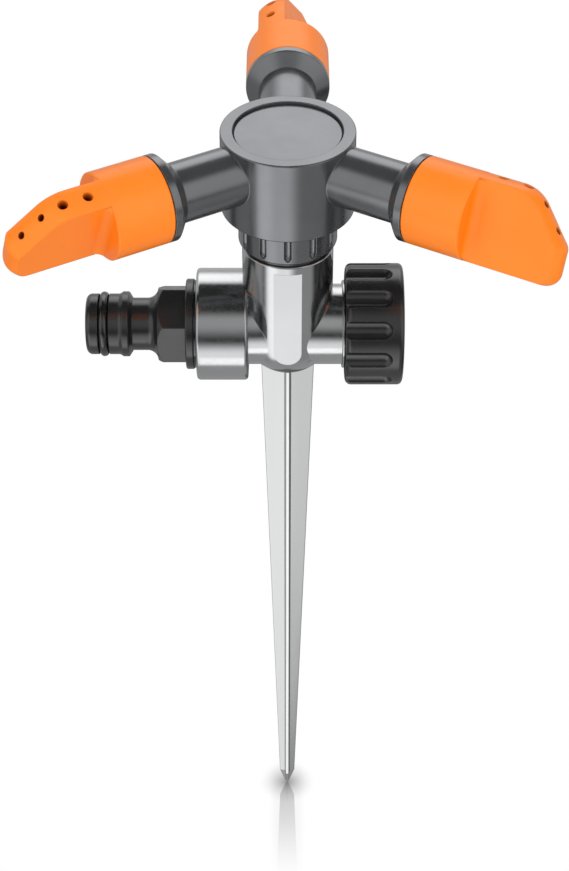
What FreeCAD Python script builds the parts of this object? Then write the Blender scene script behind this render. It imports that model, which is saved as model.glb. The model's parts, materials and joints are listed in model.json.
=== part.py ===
import FreeCAD, Part
import math
import os

# Three-arm rotary lawn sprinkler on a ground spike. Millimetres.
# Origin at the spike's tip, +Z up. The hose inlet faces -X, the capped outlet faces +X.

os.makedirs("parts", exist_ok=True)

# ---------------------------------------------------------------- driving dimensions

overall_height = 238.8      # spike tip to the top of the hub

# rotor hub, measured down from the top
hub_radius = 16.7
hub_height = 21.8
hub_edge = 0.35
recess_radius = 13.6        # seat of the cover disc
recess_depth = 0.75
recess_edge = 0.12
cover_thickness = 2.0
cover_moat_width = 0.32     # open channel around the raised middle of the cover
cover_moat_depth = 0.7
chamber_radius = 12.4       # water chamber below the cover
hub_floor = 3.7
spindle_boss_wall = 3.0

# arms, measured along each arm from the rotor's axis
arm_azimuths = {"rear": 90.0, "left": 210.0, "right": 330.0}
head_swivels = {"rear": 25.0, "left": 25.5, "right": 22.0}
arm_drop = 8.15             # arm axis below the hub top
arm_radius = 7.46
arm_bore = 4.4
flange_start = 34.4
flange_end = 36.5
flange_radius = 10.83
flange_edge = 0.25
flange_cone = 2.6           # length of the cone behind the flange
spigot_radius = 8.6
spigot_end = 48.2
snap_ridge_radius = 8.9
snap_ridge_place = 46.6
head_seal_place = 41.0
head_seal_cord = 0.78
head_seal_floor = 7.0       # radius of the groove's floor

# nozzle heads
head_gap = 0.1              # between the flange and the head
head_bore = spigot_radius + 0.06
head_edge = 0.3
sleeve_end = 51.6
paddle_half = 3.85          # half thickness of the flat paddle
paddle_crown = 1.0          # how far the long edges bulge at mid thickness
paddle_end_crown = 1.4      # how far the far edge bulges
paddle_end = 75.05
slope_along = 67.05         # the slanting edge passes through this point
slope_height = 8.35
slope_angle = -50.3
slope_blend = 9.0           # radius where the top edge turns into the slope
paddle_heel = 3.3           # radius of the far lower corner
paddle_lip = 1.2            # size of the rounded corner below the slope
web_radius = 2.2            # fillet between sleeve and paddle
channel_radius = 2.2
channel_end = 70.0
jet_radius = 0.8
jet_mouth = 1.27            # radius of a countersink at the surface
jet_sink = 1.7              # depth of a countersink
fine_jet_radius = 0.9

# column of the body, with the cross tube
column_radius = 11.6
column_edge = 0.5
column_top = overall_height - 32.75
cross_z = overall_height - 58.5
dome_z = overall_height - 60.0
flat_depth = 0.56           # front and rear flats
flat_half_box = 5.0
flat_top = column_top - 2.25
tube_radius = 10.5
cross_bore = 5.5
nut_thread_radius = 9.4
nut_thread_depth = 11.0

# inlet side, measured along -X
collar_radius = 14.6
collar_start = 10.3
collar_end = 23.6
collar_edge = 0.9
inlet_thread_radius = 10.3
inlet_thread_depth = 10.2

# outlet side, measured along +X
shoulder_start = 14.1
shoulder_end = 14.8
shoulder_radius = 11.46
shoulder_edge = 0.2
outlet_end = 25.7
outlet_tip = 0.8
thread_root = 9.32          # G 1/2 pipe thread
thread_crest = 10.478
thread_pitch = 1.814
thread_runout = 1.4
outlet_bore = 6.0

# hose adaptor, measured along -X
adaptor_flange_radius = 11.8
adaptor_flange_start = 24.2
adaptor_flange_end = 26.4
adaptor_flange_edge = 0.3
hex_end = 33.7
hex_across_flats = 18.85
neck_start = 36.6
neck_end = 40.3
neck_radius = 6.85
catch_radius = 8.5
catch_start = 41.2
catch_end = 43.1
catch_edge = 0.2
land_radius = 7.93
land_start = 43.8
groove_radius = 6.15
groove_start = 46.4
groove_end = 49.2
adaptor_end = 52.4
adaptor_nose = 1.5
adaptor_bore = 4.7
adaptor_seal_cord = 1.15

# end cap, measured along +X
cap_radius = 15.85
cap_start = 14.9
cap_end = 29.8
cap_bore = thread_crest + 0.12
cap_wall = 2.6
cap_inner_edge = 1.6
cap_outer_edge = 1.3
flute_count = 12
flute_half_width = 2.5
flute_depth = 1.55
flute_end = 26.9

# retaining nut and the swivel inside it
nut_radius = 12.5
nut_edge = 0.5
nut_top = overall_height - hub_height - 0.3
nut_top_edge = 0.3
nut_bottom = overall_height - 31.3
nut_groove_count = 12
nut_groove_half = 0.9
nut_groove_depth = 1.0
nut_groove_tip = 0.3        # radius of the cutter's pointed end
nut_groove_stop = 0.85      # plain band below the grooves
spindle_radius = 5.5
spindle_bore = 2.9
spindle_clearance = 0.05
spindle_flange_radius = 8.6
spindle_head = overall_height - hub_height + 6.4
spindle_foot = column_top - nut_thread_depth + 0.6
washer_gap = 0.05
lower_washer_top = column_top - nut_thread_depth + 4.0
lower_washer_thickness = 1.1
upper_washer_bottom = nut_top - 0.9
gland_z = lower_washer_top + 4.2
gland_radius = 3.95
gland_cord = 0.76
seal_play = 0.15            # half of a seal's play in its groove
seal_lift = 0.01            # seals stand this far off their groove's floor

# spike
spike_half_top = 6.95       # half span of the fins where they meet the body
spike_half_low = 2.25
spike_low_z = 6.2           # where the final point starts
fin_edge = 1.0              # thickness of a fin's outer edge
fin_chamfer = 0.13
fin_chamfer_low = 0.1
fin_root = 1.85
fin_root_low = 1.5
tip_half = 0.16
dome_play = 0.02            # between the fins and the body's domed foot
stud_radius = 4.0
stud_length = 5.2

hub_bottom = overall_height - hub_height
arm_z = overall_height - arm_drop
cover_top = overall_height - recess_depth
cover_bottom = cover_top - cover_thickness
stud_seat_z = dome_z - math.sqrt(column_radius ** 2 - (stud_radius + 0.35) ** 2)

ORIGIN = FreeCAD.Vector(0, 0, 0)
X_AXIS = FreeCAD.Vector(1, 0, 0)
Y_AXIS = FreeCAD.Vector(0, 1, 0)
Z_AXIS = FreeCAD.Vector(0, 0, 1)

# ---------------------------------------------------------------- building blocks


def cylinder(radius, z_low, z_high):
    """Solid cylinder about Z."""
    return Part.makeCylinder(radius, z_high - z_low, FreeCAD.Vector(0, 0, z_low), Z_AXIS)


def ring(outer, inner, z_low, z_high):
    """Flat ring about Z."""
    return cylinder(outer, z_low, z_high).cut(cylinder(inner, z_low - 1, z_high + 1))


def o_ring(floor_radius, cord_radius, z_middle):
    """Round-section ring about Z that lies on a groove's floor."""
    middle = floor_radius + cord_radius + seal_lift
    return Part.makeTorus(middle, cord_radius, FreeCAD.Vector(0, 0, z_middle), Z_AXIS)


def box(x_span, y_span, z_span):
    """Box between low and high limits on each axis."""
    size = [span[1] - span[0] for span in (x_span, y_span, z_span)]
    return Part.makeBox(*size, FreeCAD.Vector(x_span[0], y_span[0], z_span[0]))


def path(start, steps, to_vector):
    """Closed wire. A step is a point, or a pair (through, end) for an arc."""
    edges = []
    here = to_vector(start)
    for step in list(steps) + [start]:
        if isinstance(step[0], tuple):
            there = to_vector(step[1])
            edges.append(Part.Arc(here, to_vector(step[0]), there).toShape())
        else:
            there = to_vector(step)
            edges.append(Part.LineSegment(here, there).toShape())
        here = there
    return Part.Wire(edges)


def turned(start, *steps):
    """Solid of revolution about Z from (radius, z) points."""
    wire = path(start, steps, lambda p: FreeCAD.Vector(p[0], 0, p[1]))
    return Part.Face(wire).revolve(ORIGIN, Z_AXIS, 360)


def arc_point(centre, radius, degrees):
    """Point on a circle in a (radius, z) profile."""
    angle = math.radians(degrees)
    return (centre[0] + radius * math.cos(angle), centre[1] + radius * math.sin(angle))


def round_corner(centre, radius, first, last):
    """Arc step for a profile, from one angle to another."""
    middle = (first + last) / 2
    return (arc_point(centre, radius, middle), arc_point(centre, radius, last))


def spun(shape, degrees, axis=Z_AXIS, centre=ORIGIN):
    """Rotated copy."""
    copy = shape.copy()
    copy.rotate(centre, axis, degrees)
    return copy


def along_minus_x(shape):
    """From Z-based working axes to the inlet side of the cross tube."""
    turned_over = spun(shape, -90, Y_AXIS)
    turned_over.translate(FreeCAD.Vector(0, 0, cross_z))
    return turned_over


def along_plus_x(shape):
    """From Z-based working axes to the outlet side of the cross tube."""
    turned_over = spun(shape, 90, Y_AXIS)
    turned_over.translate(FreeCAD.Vector(0, 0, cross_z))
    return turned_over


def z_to_x(shape):
    """From Z-based working axes to an arm that lies along +X."""
    return spun(shape, 90, Y_AXIS)


def on_arm(shape, azimuth, swivel=0.0):
    """From an arm along +X at the origin to its place on the hub."""
    placed = spun(shape, -swivel, X_AXIS)
    placed = spun(placed, azimuth)
    placed.translate(FreeCAD.Vector(0, 0, arm_z))
    return placed


def fused(shapes):
    """Union with its seams removed."""
    return shapes[0].fuse(shapes[1:]).removeSplitter()


# ---------------------------------------------------------------- spike


def fin_section(half_span, edge, chamfer, root, z):
    """Cross-shaped section: four fins, thinner at the chamfered edge than at the root."""
    half_edge = edge / 2
    corners = (
        (half_span - chamfer, -half_edge),
        (half_span, chamfer - half_edge),
        (half_span, half_edge - chamfer),
        (half_span - chamfer, half_edge),
        (root / 2, root / 2),
    )
    points = []
    for quarter in range(4):
        angle = math.radians(90 * quarter)
        for along, across in corners:
            x = along * math.cos(angle) - across * math.sin(angle)
            y = along * math.sin(angle) + across * math.cos(angle)
            points.append(FreeCAD.Vector(x, y, z))
    return Part.makePolygon(points + points[:1])


def ground_spike():
    """Four tapering fins, a point, and the stud that screws into the body's foot."""
    fins_top = dome_z - 4
    taper = (spike_half_top - spike_half_low) / (dome_z - column_radius - spike_low_z)
    half_at_top = spike_half_low + taper * (fins_top - spike_low_z)
    high_section = fin_section(half_at_top, fin_edge, fin_chamfer, fin_root, fins_top)
    low_section = fin_section(spike_half_low, fin_edge, fin_chamfer_low, fin_root_low, spike_low_z)
    shaft = Part.makeLoft([high_section, low_section], True, True)
    blunt_section = fin_section(3 * tip_half, 0.4, 0.08, 0.6, 0.4)
    tip_section = fin_section(tip_half, 0.1, 0.02, 0.2, 0.0)
    point = Part.makeLoft([low_section, blunt_section, tip_section], True, True)
    dome = Part.makeSphere(column_radius + dome_play, FreeCAD.Vector(0, 0, dome_z))
    stud = cylinder(stud_radius, stud_seat_z - 0.8, stud_seat_z + stud_length)
    fins = fused([shaft, point]).cut(dome)
    return fused([fins, stud])


# ---------------------------------------------------------------- body


def helical_ridge(root, crest, pitch, length):
    """Thread ridge about Z, starting at z = 0."""
    helix = Part.makeHelix(pitch, length, root)
    buried = root - 0.15
    foot = 0.42 * pitch
    top = 0.08 * pitch
    profile = Part.makePolygon([
        FreeCAD.Vector(buried, 0, -foot),
        FreeCAD.Vector(crest, 0, -top),
        FreeCAD.Vector(crest, 0, top),
        FreeCAD.Vector(buried, 0, foot),
        FreeCAD.Vector(buried, 0, -foot),
    ])
    return Part.Wire(helix).makePipeShell([profile], True, True)


def column():
    """Upright barrel with a domed foot."""
    seat_radius = math.sqrt(column_radius ** 2 - (dome_z - stud_seat_z) ** 2)
    seat_angle = -math.degrees(math.acos(seat_radius / column_radius))
    rim = column_radius - column_edge
    return turned(
        (0, stud_seat_z),
        (seat_radius, stud_seat_z),
        round_corner((0, dome_z), column_radius, seat_angle, 0),
        (column_radius, column_top - column_edge),
        round_corner((rim, column_top - column_edge), column_edge, 0, 90),
        (0, column_top),
    )


def inlet_collar():
    """Thick ring that takes the hose adaptor's thread."""
    rim = collar_radius - collar_edge
    return turned(
        (0, collar_start),
        (rim, collar_start),
        round_corner((rim, collar_start + collar_edge), collar_edge, -90, 0),
        (collar_radius, collar_end - collar_edge),
        round_corner((rim, collar_end - collar_edge), collar_edge, 0, 90),
        (0, collar_end),
    )


def outlet_spigot():
    """Shoulder and male pipe thread on the outlet side."""
    core = turned(
        (0, shoulder_start),
        (shoulder_radius - shoulder_edge, shoulder_start),
        (shoulder_radius, shoulder_start + shoulder_edge),
        (shoulder_radius, shoulder_end - shoulder_edge),
        (shoulder_radius - shoulder_edge, shoulder_end),
        (thread_root, shoulder_end),
        (thread_root, outlet_end - outlet_tip),
        (thread_root - outlet_tip, outlet_end),
        (0, outlet_end),
    )
    first_turn = shoulder_end + thread_runout
    length = outlet_end - first_turn - 2 * outlet_tip
    ridge = helical_ridge(thread_root, thread_crest, thread_pitch, length)
    ridge.translate(FreeCAD.Vector(0, 0, first_turn))
    return fused([core, ridge])


def valve_body():
    """Column, cross tube, inlet collar and outlet in one casting, with its waterways."""
    tube = cylinder(tube_radius, -collar_start - 1, shoulder_start)
    outside = fused([
        column(),
        along_plus_x(tube),
        along_minus_x(inlet_collar()),
        along_plus_x(outlet_spigot()),
    ])
    flat_face = flat_depth - column_radius
    front = box((-flat_half_box, flat_half_box), (-20, flat_face), (dome_z - 15, flat_top))
    outside = outside.cut([front, spun(front, 180)])
    inlet_thread = cylinder(inlet_thread_radius, collar_end - inlet_thread_depth, collar_end + 1)
    waterway = cylinder(cross_bore, 0, collar_end)
    outlet_way = cylinder(outlet_bore, 0, outlet_end + 1)
    riser = cylinder(spindle_radius - 0.5, cross_z, column_top)
    nut_socket = cylinder(nut_thread_radius, column_top - nut_thread_depth, column_top + 1)
    stud_socket = cylinder(stud_radius, stud_seat_z - 1, stud_seat_z + stud_length)
    return outside.cut([
        along_minus_x(inlet_thread),
        along_minus_x(waterway),
        along_plus_x(outlet_way),
        riser,
        nut_socket,
        stud_socket,
    ])


# ---------------------------------------------------------------- hose adaptor


def hexagon(z_low, z_high):
    """Spanner faces about Z, with 45 degree chamfers at the top and flats to the front and rear."""
    corner_radius = hex_across_flats / math.sqrt(3)
    corners = [arc_point((0, 0), corner_radius, 60 * k) for k in range(7)]
    outline = Part.makePolygon([FreeCAD.Vector(x, y, z_low) for x, y in corners])
    prism = Part.Face(outline).extrude(FreeCAD.Vector(0, 0, z_high - z_low))
    chamfer = turned(
        (0, z_low - 1),
        (corner_radius + 1, z_low - 1),
        (corner_radius + 1, z_high - corner_radius - 1 + hex_across_flats / 2),
        (hex_across_flats / 2, z_high),
        (0, z_high),
    )
    return prism.common(chamfer)


def hose_adaptor():
    """Quick-connector plug with a hexagon and a male pipe thread."""
    root = collar_end - inlet_thread_depth + 0.3
    flat = hex_across_flats / 2
    flare_middle = (neck_radius + 0.69, neck_start - 1.9)
    flange_rim = adaptor_flange_radius - adaptor_flange_edge
    nose_centre = (land_radius - adaptor_nose, adaptor_end - adaptor_nose)
    shaft = turned(
        (0, root),
        (inlet_thread_radius, root),
        (inlet_thread_radius, adaptor_flange_start),
        (flange_rim, adaptor_flange_start),
        (adaptor_flange_radius, adaptor_flange_start + adaptor_flange_edge),
        (adaptor_flange_radius, adaptor_flange_end - adaptor_flange_edge),
        (flange_rim, adaptor_flange_end),
        (flat, adaptor_flange_end),
        (flat, hex_end),
        (flare_middle, (neck_radius, neck_start)),
        (neck_radius, neck_end),
        (catch_radius - catch_edge, catch_start),
        (catch_radius, catch_start + catch_edge),
        (catch_radius, catch_end - catch_edge),
        (catch_radius - catch_edge, catch_end),
        (land_radius, land_start),
        (land_radius, groove_start),
        (groove_radius, groove_start),
        (groove_radius, groove_end),
        (land_radius, groove_end),
        (land_radius, nose_centre[1]),
        round_corner(nose_centre, adaptor_nose, 0, 90),
        (0, adaptor_end),
    )
    plug = fused([shaft, hexagon(adaptor_flange_end, hex_end)])
    return along_minus_x(plug.cut(cylinder(adaptor_bore, 0, adaptor_end + 1)))


def adaptor_seal():
    return along_minus_x(o_ring(groove_radius, adaptor_seal_cord, (groove_start + groove_end) / 2))


def inlet_washer():
    outer = adaptor_flange_radius - 0.35
    return along_minus_x(ring(outer, inlet_thread_radius, collar_end, adaptor_flange_start))


# ---------------------------------------------------------------- end cap


def flute_cutter():
    """Round-bottomed groove that is open at the cap's inner end."""
    radius = (flute_half_width ** 2 + flute_depth ** 2) / (2 * flute_depth)
    distance = cap_radius - flute_depth + radius
    stop = flute_end - flute_half_width
    start = cap_start - 2
    groove = Part.makeCylinder(radius, stop - start, FreeCAD.Vector(distance, 0, start), Z_AXIS)
    return groove.fuse(Part.makeSphere(radius, FreeCAD.Vector(distance, 0, stop))).removeSplitter()


def end_cap():
    """Fluted screw cap that closes the outlet."""
    blank = turned(
        (0, cap_start),
        (cap_radius - cap_inner_edge, cap_start),
        round_corner((cap_radius - cap_inner_edge, cap_start + cap_inner_edge), cap_inner_edge, -90, 0),
        (cap_radius, cap_end - cap_outer_edge),
        round_corner((cap_radius - cap_outer_edge, cap_end - cap_outer_edge), cap_outer_edge, 0, 90),
        (0, cap_end),
    )
    cutter = flute_cutter()
    flutes = [spun(cutter, 360 * k / flute_count) for k in range(flute_count)]
    bore = cylinder(cap_bore, cap_start - 1, cap_end - cap_wall)
    return along_plus_x(blank.cut(flutes + [bore]))


def cap_washer():
    return along_plus_x(ring(cap_bore - 0.2, outlet_bore, outlet_end, cap_end - cap_wall))


# ---------------------------------------------------------------- retaining nut and swivel


def retaining_nut():
    """Grooved nut that holds the spindle in the body."""
    rim = nut_radius - nut_edge
    blank = turned(
        (0, lower_washer_top),
        (nut_thread_radius, lower_washer_top),
        (nut_thread_radius, nut_bottom),
        (rim, nut_bottom),
        round_corner((rim, nut_bottom + nut_edge), nut_edge, -90, 0),
        (nut_radius, nut_top - nut_top_edge),
        (nut_radius - nut_top_edge, nut_top),
        (0, nut_top),
    )
    stop = nut_bottom + nut_groove_stop + nut_groove_half
    foot = FreeCAD.Vector(nut_radius - nut_groove_depth + nut_groove_half, 0, stop)
    groove = Part.makeCylinder(nut_groove_half, nut_top + 1 - stop, foot, Z_AXIS)
    tip = foot - FreeCAD.Vector(0, 0, nut_groove_half)
    groove = groove.fuse(Part.makeCone(nut_groove_tip, nut_groove_half, nut_groove_half, tip, Z_AXIS))
    grooves = [spun(groove, 360 * k / nut_groove_count) for k in range(nut_groove_count)]
    bearing = cylinder(spindle_radius + spindle_clearance, lower_washer_top - 1, nut_top + 1)
    washer_seat = cylinder(spindle_flange_radius - 0.2, upper_washer_bottom, nut_top + 1)
    return blank.cut(grooves + [bearing, washer_seat])


def nut_gasket():
    return ring(column_radius - 0.6, nut_thread_radius, column_top, nut_bottom)


def upper_thrust_washer():
    outer = spindle_flange_radius - 0.3
    return ring(outer, spindle_radius + 0.1, upper_washer_bottom, hub_bottom - washer_gap)


def lower_thrust_washer():
    bottom = lower_washer_top - lower_washer_thickness
    return ring(spindle_flange_radius, spindle_radius + 0.1, bottom, lower_washer_top)


def rotor_spindle():
    """Hollow stem that carries water up and turns in the nut."""
    flange_top = lower_washer_top - lower_washer_thickness - washer_gap
    half_groove = gland_cord + seal_play
    chamfer = 0.4
    return turned(
        (spindle_bore, spindle_foot),
        (spindle_flange_radius, spindle_foot),
        (spindle_flange_radius, flange_top),
        (spindle_radius, flange_top),
        (spindle_radius, gland_z - half_groove),
        (gland_radius, gland_z - half_groove),
        (gland_radius, gland_z + half_groove),
        (spindle_radius, gland_z + half_groove),
        (spindle_radius, spindle_head - chamfer),
        (spindle_radius - chamfer, spindle_head),
        (spindle_bore, spindle_head),
    )


def spindle_seal():
    return o_ring(gland_radius, gland_cord, gland_z)


# ---------------------------------------------------------------- rotor hub


def arm_blank():
    """Arm tube with its flange, spigot and snap ridge, along Z."""
    half_groove = head_seal_cord + seal_play
    return turned(
        (0, chamber_radius - 0.5),
        (arm_radius, chamber_radius - 0.5),
        (arm_radius, flange_start - flange_cone),
        (flange_radius - flange_edge, flange_start),
        (flange_radius, flange_start + flange_edge),
        (flange_radius, flange_end),
        (spigot_radius, flange_end),
        (spigot_radius, head_seal_place - half_groove),
        (head_seal_floor, head_seal_place - half_groove),
        (head_seal_floor, head_seal_place + half_groove),
        (spigot_radius, head_seal_place + half_groove),
        (spigot_radius, snap_ridge_place - 0.5),
        (snap_ridge_radius, snap_ridge_place - 0.5),
        (snap_ridge_radius, snap_ridge_place),
        (spigot_radius, snap_ridge_place + 0.8),
        (spigot_radius, spigot_end),
        (0, spigot_end),
    )


def rotor_hub():
    """Hub and three hollow arms in one moulding."""
    barrel = turned(
        (0, hub_bottom),
        (hub_radius - hub_edge, hub_bottom),
        (hub_radius, hub_bottom + hub_edge),
        (hub_radius, overall_height - hub_edge),
        round_corner((hub_radius - hub_edge, overall_height - hub_edge), hub_edge, 0, 90),
        (0, overall_height),
    )
    arm = z_to_x(arm_blank())
    outside = fused([barrel] + [on_arm(arm, azimuth) for azimuth in arm_azimuths.values()])
    chamber = cylinder(chamber_radius, hub_bottom + hub_floor, cover_bottom + 0.5)
    recess = turned(
        (0, cover_bottom),
        (recess_radius, cover_bottom),
        (recess_radius, overall_height - recess_edge),
        (recess_radius + recess_edge, overall_height),
        (recess_radius + recess_edge, overall_height + 1),
        (0, overall_height + 1),
    )
    bore = z_to_x(cylinder(arm_bore, 0, spigot_end + 1))
    bores = [on_arm(bore, azimuth) for azimuth in arm_azimuths.values()]
    hollow = outside.cut([chamber, recess] + bores)
    boss = cylinder(spindle_radius + spindle_boss_wall, hub_bottom + hub_floor - 0.5, spindle_head - 0.6)
    hollow = hollow.fuse(boss).removeSplitter()
    return hollow.cut(cylinder(spindle_radius, hub_bottom - 1, spindle_head + 1))


def hub_cover():
    """Disc that closes the hub's chamber, with a channel around its raised middle."""
    raised = recess_radius - cover_moat_width
    edge = 0.15
    return turned(
        (0, cover_bottom),
        (recess_radius, cover_bottom),
        (recess_radius, cover_top - cover_moat_depth),
        (raised, cover_top - cover_moat_depth),
        (raised, cover_top - edge),
        (raised - edge, cover_top),
        (0, cover_top),
    )


# ---------------------------------------------------------------- nozzle heads


def paddle_outline(share, q):
    """Side outline of the paddle in (along, height) at a depth q. A share of 1 draws it in fully."""
    offset = paddle_crown * share
    end = paddle_end - paddle_end_crown * share
    top = math.sqrt(flange_radius ** 2 - q ** 2) - 0.05
    bottom = -top
    start = sleeve_end - 4
    slope = math.radians(slope_angle)
    anchor = (slope_along + offset * math.sin(slope), slope_height - offset * math.cos(slope))

    def height_on_slope(along):
        return anchor[1] + (along - anchor[0]) * math.tan(slope)

    knee = anchor[0] + (top - anchor[1]) / math.tan(slope)
    reach = slope_blend * math.tan(-slope / 2)
    blend_end = (knee + reach * math.cos(slope), top + reach * math.sin(slope))
    blend_centre = (knee - reach, top - slope_blend)
    blend_middle = arc_point(blend_centre, slope_blend, 90 + slope_angle / 2)
    lip_height = height_on_slope(end)
    lip_start = (end - paddle_lip * math.cos(slope), lip_height - paddle_lip * math.sin(slope))
    lip_middle = (end - 0.13 * paddle_lip, lip_height + 0.08 * paddle_lip)
    heel_centre = (end - paddle_heel, bottom + paddle_heel)
    return path(
        (start, top),
        [
            (knee - reach, top),
            (blend_middle, blend_end),
            lip_start,
            (lip_middle, (end, lip_height - paddle_lip)),
            (end, heel_centre[1]),
            round_corner(heel_centre, paddle_heel, 0, -90),
            (start, bottom),
        ],
        lambda p: FreeCAD.Vector(p[0], q, p[1]),
    )


def paddle():
    """Flat outlet blade with a crowned edge."""
    sections = [paddle_outline(abs(side), side * paddle_half) for side in (-1, 0, 1)]
    return Part.makeLoft(sections, True, False)


def web_fillets():
    """Concave corner between the sleeve's end wall and each face of the paddle."""
    inner_face = paddle_half - 0.3
    outer_face = paddle_half + web_radius
    square = box((sleeve_end - 1, sleeve_end + web_radius), (inner_face, outer_face), (-20, 20))
    hollow = Part.makeCylinder(
        web_radius,
        60,
        FreeCAD.Vector(sleeve_end + web_radius, outer_face, -30),
        Z_AXIS,
    )
    limit = z_to_x(cylinder(flange_radius - 0.35, sleeve_end - 2, sleeve_end + 10))
    one_side = square.cut(hollow).common(limit)
    return [one_side, one_side.mirror(ORIGIN, Y_AXIS)]


def jet(along, height, lean, radius, mouth, depth):
    """Jet hole drilled into the edge, with a countersink where the mouth is wider."""
    direction = FreeCAD.Vector(math.sin(math.radians(lean)), 0, math.cos(math.radians(lean)))
    start = FreeCAD.Vector(along, 0, height)
    drill = Part.makeCylinder(radius, depth + 2, start - direction * depth, direction)
    if mouth <= radius:
        return drill
    overshoot = 0.9
    bell_mouth = radius + (mouth - radius) * (jet_sink + overshoot) / jet_sink
    bell = Part.makeCone(radius, bell_mouth, jet_sink + overshoot, start - direction * jet_sink, direction)
    return drill.fuse(bell)


def nozzle_head():
    """Swivelling outlet head: sleeve, paddle, water channel and four jets."""
    sleeve_start = flange_end + head_gap
    sleeve = turned(
        (0, sleeve_start),
        (flange_radius - head_edge, sleeve_start),
        (flange_radius, sleeve_start + head_edge),
        (flange_radius, sleeve_end - head_edge),
        (flange_radius - head_edge, sleeve_end),
        (0, sleeve_end),
    )
    solid = fused([z_to_x(sleeve), paddle()] + web_fillets())
    ridge_room = snap_ridge_radius + 0.1
    socket = turned(
        (0, sleeve_start - 1),
        (head_bore, sleeve_start - 1),
        (head_bore, snap_ridge_place - 0.8),
        (ridge_room, snap_ridge_place - 0.8),
        (ridge_room, snap_ridge_place + 0.4),
        (head_bore, snap_ridge_place + 1.2),
        (head_bore, spigot_end + 0.3),
        (0, spigot_end + 0.3),
    )
    channel = cylinder(channel_radius, spigot_end, channel_end)
    top = flange_radius - 0.05
    lean = 90 + slope_angle
    jets = [
        jet(56.0, top, 0.0, jet_radius, jet_mouth, 9.0),
        jet(62.4, top - 0.25, 10.0, jet_radius, jet_mouth, 9.0),
        jet(67.5, 7.6, lean, fine_jet_radius, fine_jet_radius, 7.5),
        jet(71.85, 2.4, lean, fine_jet_radius, fine_jet_radius, 3.6),
    ]
    return solid.cut([z_to_x(socket), z_to_x(channel)] + jets)


def head_seal():
    return z_to_x(o_ring(head_seal_floor, head_seal_cord, head_seal_place))


# ---------------------------------------------------------------- write the nodes


def main():
    nodes = {
        "ground_spike": ground_spike(),
        "valve_body": valve_body(),
        "hose_adaptor": hose_adaptor(),
        "adaptor_seal": adaptor_seal(),
        "inlet_washer": inlet_washer(),
        "end_cap": end_cap(),
        "cap_washer": cap_washer(),
        "retaining_nut": retaining_nut(),
        "nut_gasket": nut_gasket(),
        "upper_thrust_washer": upper_thrust_washer(),
        "lower_thrust_washer": lower_thrust_washer(),
        "rotor_spindle": rotor_spindle(),
        "spindle_seal": spindle_seal(),
        "rotor_hub": rotor_hub(),
        "hub_cover": hub_cover(),
    }
    head = nozzle_head()
    seal = head_seal()
    for side, azimuth in arm_azimuths.items():
        nodes["nozzle_head_" + side] = on_arm(head, azimuth, head_swivels[side])
        nodes["nozzle_seal_" + side] = on_arm(seal, azimuth)
    for name, shape in nodes.items():
        solids = shape.Solids
        print(name, len(solids), "solids", shape.isValid(), round(sum(s.Volume for s in solids), 1))
        solids[0].exportStep("parts/" + name + ".step")


main()
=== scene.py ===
import json
import math

import bpy
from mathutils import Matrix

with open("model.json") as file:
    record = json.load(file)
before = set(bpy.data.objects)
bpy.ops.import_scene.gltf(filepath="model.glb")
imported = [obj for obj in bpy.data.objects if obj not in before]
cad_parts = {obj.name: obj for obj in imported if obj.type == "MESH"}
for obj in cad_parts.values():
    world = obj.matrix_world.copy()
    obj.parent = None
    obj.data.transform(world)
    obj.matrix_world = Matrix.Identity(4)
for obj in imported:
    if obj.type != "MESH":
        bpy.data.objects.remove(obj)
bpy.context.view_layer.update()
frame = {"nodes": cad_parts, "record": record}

# Looks for a three-arm rotary spike sprinkler. Metres, in the CAD frame: spike tip at the origin,
# +Z up, hose inlet towards -X, fluted end cap towards +X, front towards -Y.

MM = 0.001
WHITE = (1.0, 1.0, 1.0)

# ---------------------------------------------------------------- stage sizes

CAMERA_PLACE = (-0.84 * MM, -431.2 * MM, 498.5 * MM)
CAMERA_DOWN = 39.55                              # degrees below level
CAMERA_LENS = 84.56                              # focal length in mm, on the sensor below
CAMERA_SENSOR = 36.0
CAMERA_CLIP = 10 * MM

FLOOR_HALF = 6.0
FLOOR_DROP = 0.2 * MM                            # below the tip, so that the two never touch
PAINTED_SHADOW_REACH = 9 * MM                              # painted contact shadow, dark where the tip stands
PAINTED_SHADOW_FALL = 1.6
PAINTED_SHADOW_DEPTH = 0.70
MIRROR_SHARE = 0.46                              # strength of the floor's mirror image at the tip
MIRROR_REACH = 42 * MM                           # where it has faded out
MIRROR_STRIP = (3 * MM, 6 * MM)                  # full nearer the centre line, gone farther out
MIRROR_TINT = 1.1
MIRROR_ROUGHNESS = 0.02

# Diffuse light from the whole sky: its mean, how far it swings, and the side it comes from
LIGHT_MEAN = 0.88
LIGHT_SWING = 0.66
LIGHT_FROM_ABOVE = 0.47
LIGHT_FROM_FRONT = 0.88

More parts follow.
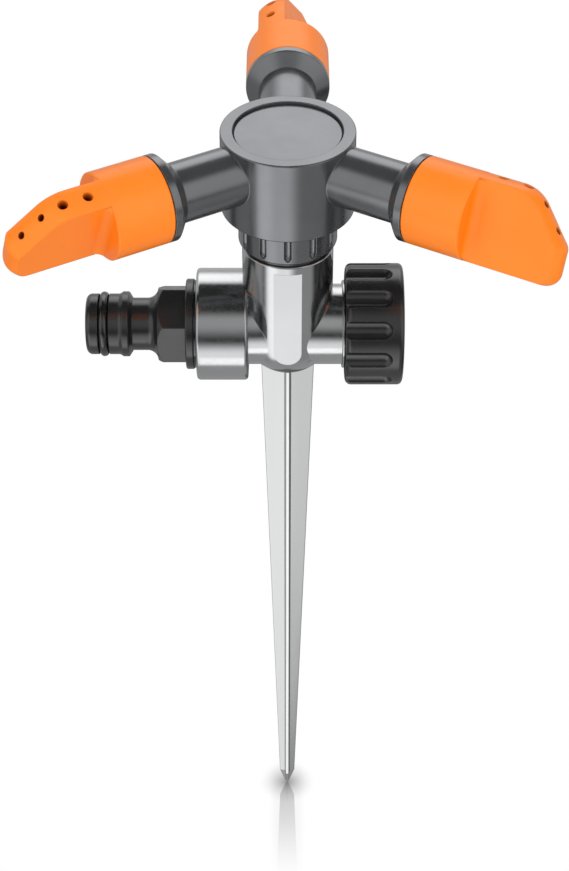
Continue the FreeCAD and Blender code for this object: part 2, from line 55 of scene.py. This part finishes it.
# Soft reflection cards, later ones over earlier ones, in degrees: azimuth (0 is the front, 90 the
# right), half width, soft edge, lower limit, its soft edge, upper limit, its soft edge, brightness
CARDS = (
    (0, 180, 1, -90, 1, -60, 22, 0.36),          # floor
    (-175, 48, 14, -8, 10, 48, 10, 0.45),        # back wall
    (180, 62, 16, -24, 8, 0, 8, 0.50),           # low behind and at the sides, for other views
    (138, 14, 16, -54, 14, -26, 14, 0.36),
    (-138, 14, 16, -54, 14, -26, 14, 0.36),
    (90, 26, 14, -22, 8, 0, 10, 0.42),
    (-90, 26, 14, -22, 8, 0, 10, 0.42),
    (-178, 6, 34, 27, 22, 40, 16, 1.42),         # high back, soft towards the left
    (162, 6, 12, 27, 22, 40, 16, 1.42),
    (0, 30, 25, 34, 36, 44, 22, 0.36),           # behind the camera
    (-60, 16, 22, 6, 20, 42, 20, 0.62),
    (60, 16, 22, 6, 20, 42, 20, 0.62),
    (34, 26, 14, -54, 14, -22, 14, 0.30),        # low front, from right to left
    (-22, 20, 26, -50, 12, -30, 34, 1.06),
    (-40, 5, 15, -46, 14, -16, 14, 1.32),
    (0, 4, 5, -54, 6, -41, 5, 1.5),              # narrow strip for the spike's front ridge
    (-84, 12, 12, -56, 14, -16, 14, 0.30),       # low at the sides
    (96, 5, 8, -56, 14, -16, 14, 0.16),
)
UNLIT = 0.02                                     # brightness between the cards
SEAM_SIDE = 120                                  # azimuth beyond which a card is set from behind
LATER_BOUNCES = 0.5                              # share of the cards that a second reflection sees
FIRST_DEPTH = 2.5                                # ray depth below which a reflection is the first

# ---------------------------------------------------------------- finish sizes

GRAIN_DEPTH = 0.02 * MM
WEAR_WIDTH = 0.4 * MM
WEAR_TURN = (0.9, 0.995)                         # cosine between face and edge: full wear, none
WEAR_PATCHES = (0.42, 0.62)                      # noise values: none, full wear
BEVEL_SAMPLES = 6
CREVICE_SAMPLES = 8

# ---------------------------------------------------------------- node helpers


class Nodes:
    """A node tree, with short calls for the nodes that the looks share."""

    def __init__(self, owner, output):
        owner.use_nodes = True
        self.tree = owner.node_tree
        self.tree.nodes.clear()
        self.surface = self.add(output).inputs["Surface"]

    def add(self, kind, inputs=None, **settings):
        """A new node with its settings, and its inputs by name or place."""
        node = self.tree.nodes.new(kind)
        for key, value in settings.items():
            setattr(node, key, value)
        for key, value in (inputs or {}).items():
            self.feed(node.inputs[key], value)
        return node

    def link(self, source, target):
        self.tree.links.new(source, target)

    def feed(self, socket, value):
        """Links another socket, or sets a constant; a colour is given without its alpha."""
        if isinstance(value, bpy.types.NodeSocket):
            self.link(value, socket)
        elif isinstance(value, tuple) and len(socket.default_value) == 4:
            socket.default_value = value + (1.0,)
        else:
            socket.default_value = value

    def coordinates(self, kind):
        return self.add("ShaderNodeTexCoord").outputs[kind]

    def split(self, vector):
        node = self.add("ShaderNodeSeparateXYZ", {"Vector": vector})
        return [node.outputs[axis] for axis in "XYZ"]

    def maths(self, operation, *values):
        node = self.add("ShaderNodeMath", dict(enumerate(values)), operation=operation)
        return node.outputs["Value"]

    def remap(self, source, low, high, to_low=0.0, to_high=1.0):
        """Smooth between the two limits and level beyond them."""
        inputs = {"Value": source, "From Min": low, "From Max": high}
        inputs.update({"To Min": to_low, "To Max": to_high})
        node = self.add("ShaderNodeMapRange", inputs, interpolation_type="SMOOTHSTEP")
        return node.outputs["Result"]

    def mix(self, share, first, second):
        """Colour mix; share is a socket, the colours are tuples or sockets."""
        node = self.add("ShaderNodeMix", {"Factor": share, 6: first, 7: second}, data_type="RGBA")
        return node.outputs[2]

    def mix_shaders(self, share, first, second):
        node = self.add("ShaderNodeMixShader", {"Fac": share, 1: first, 2: second})
        return node.outputs["Shader"]


class Shader(Nodes):
    """A finish on one Principled shader, with the textures that the finishes share."""

    def __init__(self, name):
        self.material = bpy.data.materials.new(name)
        super().__init__(self.material, "ShaderNodeOutputMaterial")
        self.bsdf = self.add("ShaderNodeBsdfPrincipled")
        self.link(self.bsdf.outputs["BSDF"], self.surface)
        self.place = self.coordinates("Object")

    def set(self, **values):
        """Constants or sockets for the Principled shader's inputs, with _ for a space."""
        for key, value in values.items():
            self.feed(self.bsdf.inputs[key.replace("_", " ")], value)

    def noise(self, scale, detail=3.0, roughness=0.55, stretch=None):
        place = self.place
        if stretch:
            mapping = self.add("ShaderNodeMapping", {"Vector": place, "Scale": stretch})
            place = mapping.outputs["Vector"]
        inputs = {"Vector": place, "Scale": scale, "Detail": detail, "Roughness": roughness}
        return self.add("ShaderNodeTexNoise", inputs).outputs["Fac"]

    def mottled(self, noise, first, second, low=0.3, high=0.7):
        """Two close colours in soft patches."""
        return self.mix(self.remap(noise, low, high), first, second)

    def soft_edges(self, radius):
        node = self.add("ShaderNodeBevel", {"Radius": radius}, samples=BEVEL_SAMPLES)
        return node.outputs["Normal"]

    def grain(self, height, strength, edge_radius=None):
        """A fine bump, on edges softened by the radius."""
        inputs = {"Height": height, "Distance": GRAIN_DEPTH, "Strength": strength}
        if edge_radius:
            inputs["Normal"] = self.soft_edges(edge_radius)
        return self.add("ShaderNodeBump", inputs).outputs["Normal"]

    def crevice_shade(self, reach, closed, open_face):
        """1 far inside a hole or an inside corner, 0 on open faces: the mask for painted shade."""
        node = self.add("ShaderNodeAmbientOcclusion", {"Distance": reach},
                        samples=CREVICE_SAMPLES, only_local=True)
        return self.remap(node.outputs["AO"], closed, open_face, 1.0, 0.0)

    def worn_edges(self, base, rubbed, share, patch_scale=900.0):
        """The base colour, partly rubbed along convex edges, broken up by noise."""
        face = self.add("ShaderNodeNewGeometry").outputs["Normal"]
        inputs = {0: self.soft_edges(WEAR_WIDTH), 1: face}
        turned = self.add("ShaderNodeVectorMath", inputs, operation="DOT_PRODUCT").outputs["Value"]
        edge = self.remap(turned, *WEAR_TURN, 1.0, 0.0)
        broken = self.remap(self.noise(patch_scale, 4.0, 0.7), *WEAR_PATCHES)
        worn = self.maths("MULTIPLY", edge, broken)
        return self.mix(self.maths("MULTIPLY", worn, share), base, rubbed)


# ---------------------------------------------------------------- materials


def orange_plastic():
    s = Shader("orange_plastic")
    base = s.mottled(s.noise(60.0), (0.96, 0.215, 0.004), (0.99, 0.228, 0.006))
    face = s.worn_edges(base, (0.98, 0.30, 0.05), 0.25)
    # Painted shade: holes and inside corners of the orange parts darken towards dark brown.
    painted_shade = s.crevice_shade(reach=2.4 * MM, closed=0.12, open_face=0.82)
    s.set(
        Base_Color=s.mix(painted_shade, face, (0.20, 0.02, 0.001)),
        Specular_IOR_Level=0.5,
        IOR=1.5,
        Roughness=s.remap(s.noise(220.0, 5.0, 0.65), 0.35, 0.7, 0.28, 0.35),
        Normal=s.grain(s.noise(3800.0, 2.0), 0.1, 0.7 * MM),
    )
    return s.material


def grey_plastic():
    s = Shader("grey_plastic")
    base = s.mottled(s.noise(70.0), (0.235, 0.240, 0.252), (0.258, 0.263, 0.275))
    s.set(
        Base_Color=s.worn_edges(base, (0.34, 0.345, 0.355), 0.3),
        Metallic=0.85,
        Roughness=s.remap(s.noise(240.0, 5.0, 0.65), 0.35, 0.7, 0.17, 0.22),
        Normal=s.grain(s.noise(3200.0, 2.0), 0.04, 0.3 * MM),
    )
    return s.material


def black_plastic():
    s = Shader("black_plastic")
    base = s.mottled(s.noise(80.0), (0.010, 0.010, 0.011), (0.014, 0.014, 0.015))
    s.set(
        Base_Color=s.worn_edges(base, (0.05, 0.05, 0.053), 0.3, 1000.0),
        Specular_IOR_Level=0.5,
        IOR=1.85,
        Roughness=s.remap(s.noise(260.0, 5.0, 0.65), 0.35, 0.7, 0.20, 0.27),
        Normal=s.grain(s.noise(2600.0, 2.0), 0.05, 0.4 * MM),
    )
    return s.material


def bright_zinc():
    s = Shader("bright_zinc")
    s.set(
        Base_Color=s.mottled(s.noise(35.0, 4.0), (0.67, 0.68, 0.685), (0.62, 0.63, 0.64)),
        Metallic=1.0,
        Roughness=s.remap(s.noise(900.0, 4.0, 0.6), 0.3, 0.75, 0.13, 0.20),
        Normal=s.grain(s.noise(420.0), 0.06, 0.18 * MM),
    )
    return s.material


def satin_zinc():
    s = Shader("satin_zinc")
    drawn = (1.0, 1.0, 0.03)
    haze = s.noise(60.0, 4.0, stretch=drawn)
    lines = s.noise(900.0, 3.0, 0.6, stretch=drawn)
    s.set(
        Base_Color=s.mottled(haze, (0.70, 0.71, 0.71), (0.65, 0.66, 0.665)),
        Metallic=1.0,
        Roughness=s.remap(lines, 0.3, 0.7, 0.14, 0.2),
        Normal=s.grain(lines, 0.05, 0.12 * MM),
    )
    return s.material


def black_rubber():
    s = Shader("black_rubber")
    dust = s.noise(150.0, 4.0)
    s.set(
        Base_Color=s.mottled(dust, (0.008, 0.008, 0.008), (0.014, 0.014, 0.013), low=0.35),
        Specular_IOR_Level=0.5,
        IOR=1.9,
        Roughness=s.remap(s.noise(500.0), 0.3, 0.7, 0.06, 0.10),
        Normal=s.grain(s.noise(2500.0, 2.0), 0.04),
    )
    return s.material


def white_plastic():
    s = Shader("white_plastic")
    s.set(
        Base_Color=s.mix(s.noise(90.0), (0.80, 0.80, 0.77), (0.86, 0.86, 0.84)),
        Specular_IOR_Level=0.5,
        Roughness=s.remap(s.noise(400.0), 0.3, 0.7, 0.3, 0.4),
        Normal=s.grain(s.noise(2500.0, 2.0), 0.2, 0.2 * MM),
    )
    return s.material


FINISHES = {
    "orange_plastic": orange_plastic,
    "grey_plastic": grey_plastic,
    "black_plastic": black_plastic,
    "bright_zinc": bright_zinc,
    "satin_zinc": satin_zinc,
    "black_rubber": black_rubber,
    "white_plastic": white_plastic,
}


def dress_nodes():
    """Each CAD node gets the finish that its material slot names."""
    made = {slot: make() for slot, make in FINISHES.items()}
    slots = {part["node"]: part["material_slot"] for part in frame["record"]["subparts"]}
    for name, piece in frame["nodes"].items():
        piece.data.materials.clear()
        piece.data.materials.append(made[slots[name]])


# ---------------------------------------------------------------- stage


def camera():
    """The view is from the front and above, a little left of the rotor's axis."""
    data = bpy.data.cameras.new("camera")
    data.sensor_width = CAMERA_SENSOR
    data.lens = CAMERA_LENS
    data.clip_start = CAMERA_CLIP
    eye = bpy.data.objects.new("camera", data)
    eye.location = CAMERA_PLACE
    eye.rotation_euler = (math.radians(90.0 - CAMERA_DOWN), 0.0, 0.0)
    bpy.context.scene.collection.objects.link(eye)
    bpy.context.scene.camera = eye


def floor():
    """White floor with a fading mirror image and a soft painted contact shadow where the tip
    stands.
    """
    mesh = bpy.data.meshes.new("floor")
    square = ((-1, -1), (1, -1), (1, 1), (-1, 1))
    mesh.from_pydata([(x * FLOOR_HALF, y * FLOOR_HALF, 0) for x, y in square], [], [(0, 1, 2, 3)])
    plane = bpy.data.objects.new("floor", mesh)
    plane.location.z = -FLOOR_DROP
    bpy.context.scene.collection.objects.link(plane)

    material = bpy.data.materials.new("floor")
    s = Nodes(material, "ShaderNodeOutputMaterial")
    place = s.coordinates("Object")
    distance = s.add("ShaderNodeVectorMath", {0: place}, operation="LENGTH").outputs["Value"]
    # Painted contact shadow: the floor's glow, and the mirror's tint with it, grow darker towards
    # the tip.
    outwards = s.maths("DIVIDE", distance, PAINTED_SHADOW_REACH)
    near = s.maths("MAXIMUM", s.maths("SUBTRACT", 1.0, outwards), 0.0)
    darker = s.maths("MULTIPLY", s.maths("POWER", near, PAINTED_SHADOW_FALL), PAINTED_SHADOW_DEPTH)
    painted_shadow = s.maths("SUBTRACT", 1.0, darker)
    glow = s.add("ShaderNodeEmission", {"Strength": painted_shadow})
    tint = s.maths("MULTIPLY", painted_shadow, MIRROR_TINT)
    gloss = s.add("ShaderNodeBsdfGlossy", {"Color": tint, "Roughness": MIRROR_ROUGHNESS})
    sideways = s.maths("ABSOLUTE", s.split(place)[0])
    strip = s.remap(sideways, *MIRROR_STRIP, 1.0, 0.0)
    mirror = s.maths("MULTIPLY", strip, s.remap(distance, 0.0, MIRROR_REACH, MIRROR_SHARE, 0.0))
    s.link(s.mix_shaders(mirror, glow.outputs["Emission"], gloss.outputs["BSDF"]), s.surface)

    mesh.materials.append(material)
    plane.visible_diffuse = False
    plane.visible_glossy = False


def surroundings():
    """Studio light as a world: white for the camera, soft for diffuse light, cards to reflect."""
    world = bpy.data.worlds.new("studio")
    bpy.context.scene.world = world
    w = Nodes(world, "ShaderNodeOutputWorld")

    def step(value, off, on):
        """0 at off, 1 at on, in degrees, smooth between them."""
        return w.remap(value, math.radians(off), math.radians(on))

    def around(value, middle, half, soft):
        """1 within half of the middle, falling to 0 over the soft edge."""
        apart = w.maths("ABSOLUTE", w.maths("SUBTRACT", value, math.radians(middle)))
        return step(apart, half + soft, half)

    def background(colour, strength):
        node = w.add("ShaderNodeBackground", {"Color": colour, "Strength": strength})
        return node.outputs["Background"]

    x, y, z = w.split(w.coordinates("Generated"))
    from_front = w.maths("ARCTAN2", x, w.maths("MULTIPLY", y, -1.0))
    from_back = w.maths("ARCTAN2", x, y)
    elevation = w.maths("ARCSINE", z)

    cards = (UNLIT, UNLIT, UNLIT)
    for azimuth, half, side, low, low_soft, high, high_soft, level in CARDS:
        if abs(azimuth) > SEAM_SIDE:
            across = around(from_back, 180 - azimuth % 360, half, side)
        else:
            across = around(from_front, azimuth, half, side)
        above = step(elevation, low - low_soft, low)
        below = step(elevation, high + high_soft, high)
        share = w.maths("MULTIPLY", across, w.maths("MULTIPLY", above, below))
        cards = w.mix(share, cards, (level, level, level))

    path = w.add("ShaderNodeLightPath").outputs
    later = w.maths("GREATER_THAN", path["Ray Depth"], FIRST_DEPTH)
    kept = w.maths("SUBTRACT", 1.0, w.maths("MULTIPLY", later, 1.0 - LATER_BOUNCES))
    up = w.maths("MULTIPLY", z, LIGHT_FROM_ABOVE)
    front = w.maths("MULTIPLY", y, LIGHT_FROM_FRONT)
    towards_light = w.maths("SUBTRACT", up, front)
    light = w.maths("ADD", w.maths("MULTIPLY", towards_light, LIGHT_SWING), LIGHT_MEAN)
    dome = background(WHITE, w.maths("MAXIMUM", light, 0.0))
    unseen = w.mix_shaders(path["Is Glossy Ray"], dome, background(cards, kept))
    w.link(w.mix_shaders(path["Is Camera Ray"], unseen, background(WHITE, 1.0)), w.surface)


dress_nodes()
camera()
floor()
surroundings()

bpy.context.scene.view_settings.view_transform = "Standard"
